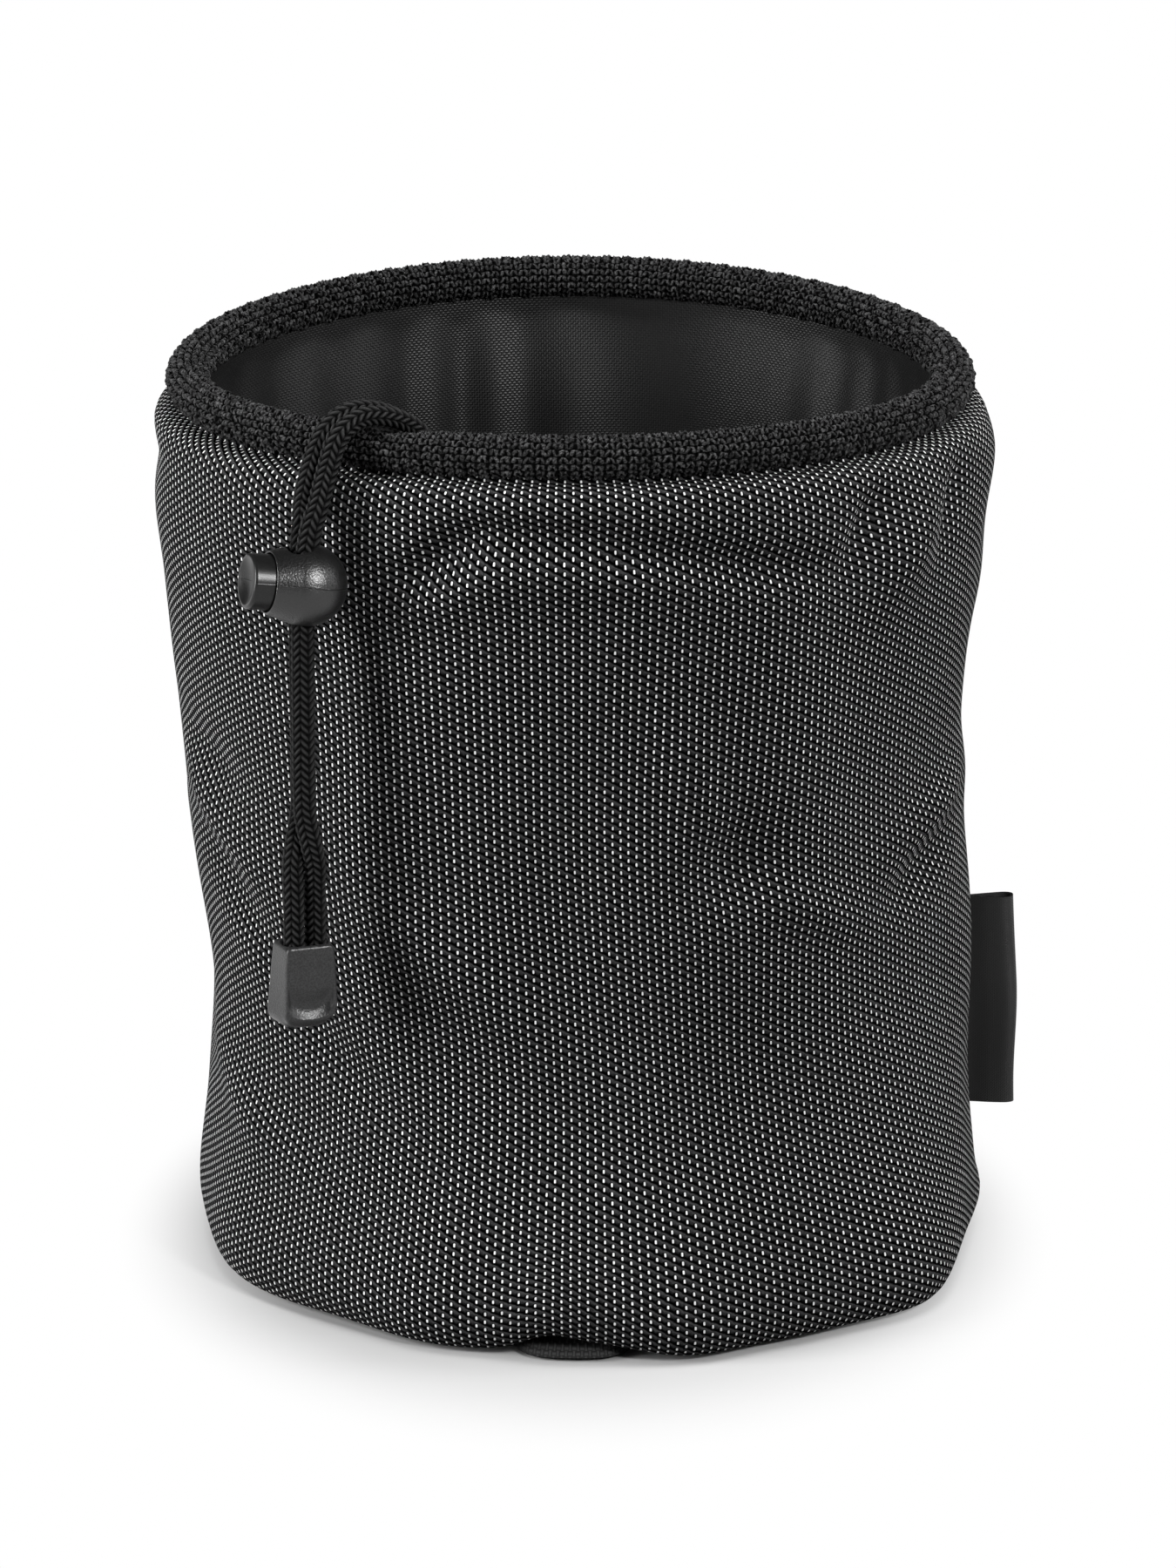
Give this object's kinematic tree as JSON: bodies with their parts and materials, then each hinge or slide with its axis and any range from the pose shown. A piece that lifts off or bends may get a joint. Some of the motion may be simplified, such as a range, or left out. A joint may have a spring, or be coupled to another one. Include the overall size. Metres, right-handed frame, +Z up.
{
  "type": "peg bag",
  "caption": "Round free-standing cloth peg bag with a stiff mesh-bound rim, a gathered collar tucked inside, and a drawcord with a sprung cord lock and a cord end.",
  "frame": {"origin": "centre of the flat base underside, on the ground", "axes": "+Z up out of the mouth, -Y the front with the hanging cord, +X the side with the label"},
  "size_m": [0.1892, 0.185, 0.205],
  "materials": {
    "outer_cloth": "charcoal twill with pale upright ticks, matte",
    "base_cloth": "black coated cloth, matte",
    "binding_tape": "black woven tape, matte",
    "label_weave": "black woven satin label, bare",
    "hoop_plastic": "dark plastic rod, hidden",
    "rim_mesh": "coarse black air mesh, matte",
    "collar_weave": "thin black fine weave",
    "braid": "black braided cord",
    "lock_plastic": "dark grey satin moulding",
    "button_plastic": "black, a little glossier than the body",
    "spring_steel": "bright wire",
    "end_plastic": "grey moulding with a fine grain"
  },
  "bodies": {
    "bag": {"side_panel": "outer_cloth", "base_panel": "base_cloth", "base_seam_binding": "binding_tape", "side_seam_tape": "binding_tape", "label": "label_weave", "rim_hoop": "hoop_plastic", "rim_cover": "rim_mesh", "collar": "collar_weave", "drawcord_loop": "braid", "drawcord_left_over_rim": "braid", "drawcord_right_over_rim": "braid"},
    "hanging_cord": {"drawcord_left_hanging": "braid", "drawcord_right_hanging": "braid", "cord_end_body": "end_plastic", "cord_end_cover": "end_plastic"},
    "cord_lock": {"cord_lock_body": "lock_plastic", "cord_lock_spring": "spring_steel"},
    "lock_button": {"cord_lock_button": "button_plastic"}
  },
  "joints": [
    {"name": "cord_swing", "type": "hinge", "parent": "bag", "child": "hanging_cord", "pos_m": [-0.05336, -0.07725, 0.20032], "axis": [-0.5592, 0.829, 0], "range_deg": [0, 80]},
    {"name": "lock_slide", "type": "slide", "parent": "hanging_cord", "child": "cord_lock", "axis": [0, 0, 1], "range_m": [-0.044, 0]},
    {"name": "button_press", "type": "slide", "parent": "cord_lock", "child": "lock_button", "axis": [0.9281, 0.3378, -0.1564], "range_m": [0, 0.002], "stiffness_N_per_m": 600, "springref_m": -0.003, "deforming": ["cord_lock_spring"]}
  ]
}
